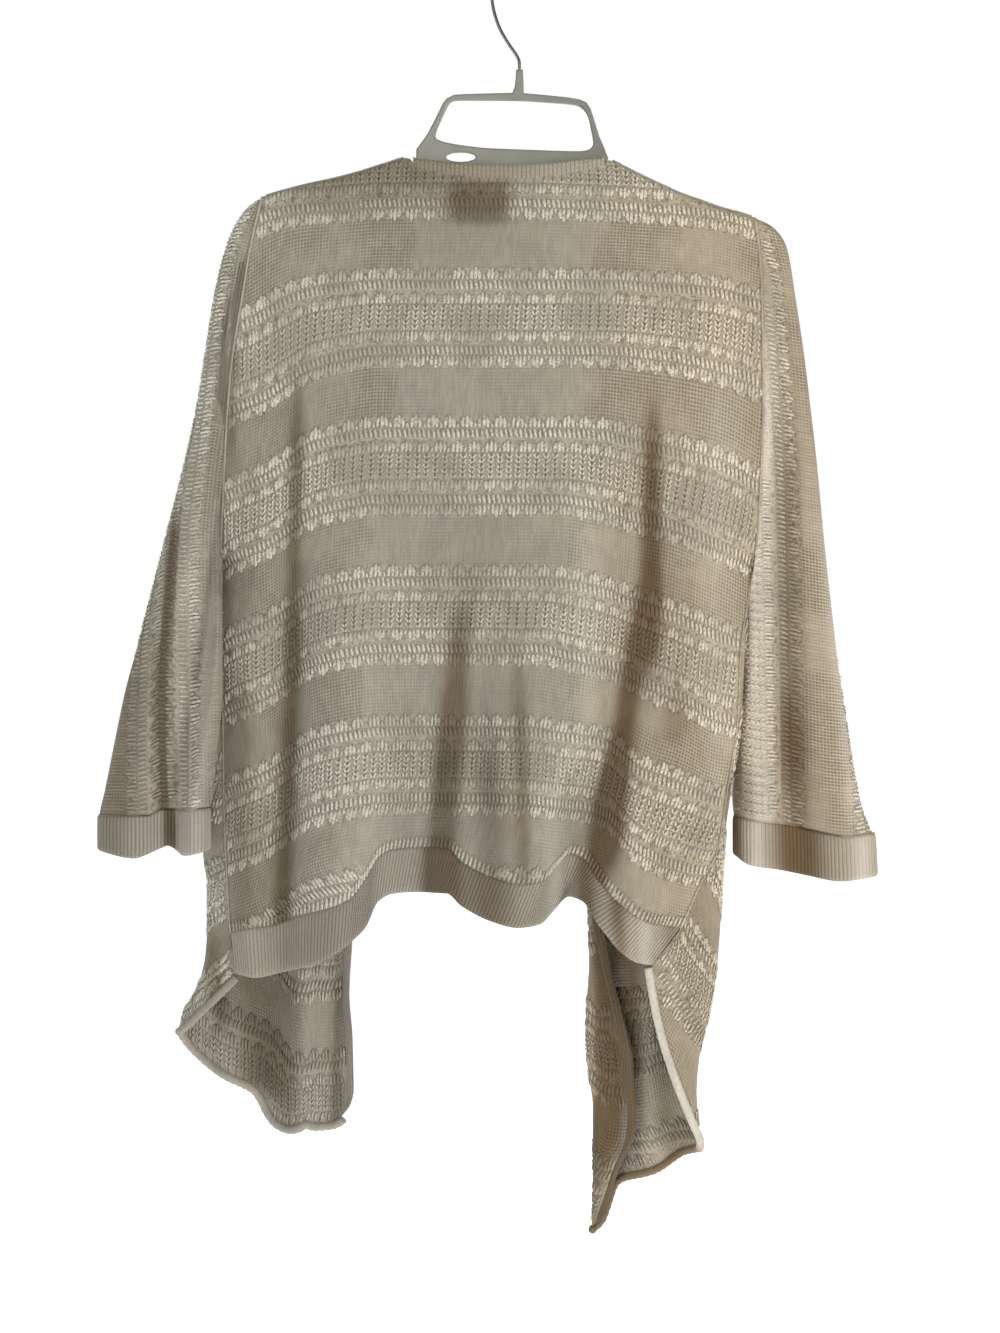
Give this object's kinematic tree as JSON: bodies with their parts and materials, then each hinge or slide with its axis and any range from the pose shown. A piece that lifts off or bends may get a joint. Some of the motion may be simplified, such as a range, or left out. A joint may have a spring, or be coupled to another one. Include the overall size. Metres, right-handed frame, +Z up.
{
  "type": "open-knit cardigan on a hanger",
  "caption": "Open-front knitted cardigan with long pointed fronts and wide ribbed sleeves, hung on a clear plastic hanger with a wire hook.",
  "frame": {"origin": "inside top of the hanger's hook, where the rod it hangs on touches the wire", "axes": "+Z up, +Y from the fronts to the back panel, +X towards the wearer's left"},
  "size_m": [0.6647, 0.0805, 1.0891],
  "materials": {
    "open_knit": "matte",
    "plain_knit": "matte",
    "rolled_edge": "matte",
    "clear_plastic": "clear gloss",
    "hook_steel": "satin"
  },
  "bodies": {
    "root": {"back": "open_knit", "front_left": "open_knit", "front_right": "open_knit", "sleeve_left": "open_knit", "sleeve_right": "open_knit", "cuff_left": "plain_knit", "cuff_right": "plain_knit", "hem_rib": "plain_knit", "neck_band": "plain_knit", "front_band_left": "plain_knit", "front_band_right": "plain_knit", "neck_label": "plain_knit", "hem_binding_left": "rolled_edge", "hem_binding_right": "rolled_edge", "hanger_body": "clear_plastic", "hanger_hook": "hook_steel"}
  },
  "joints": []
}
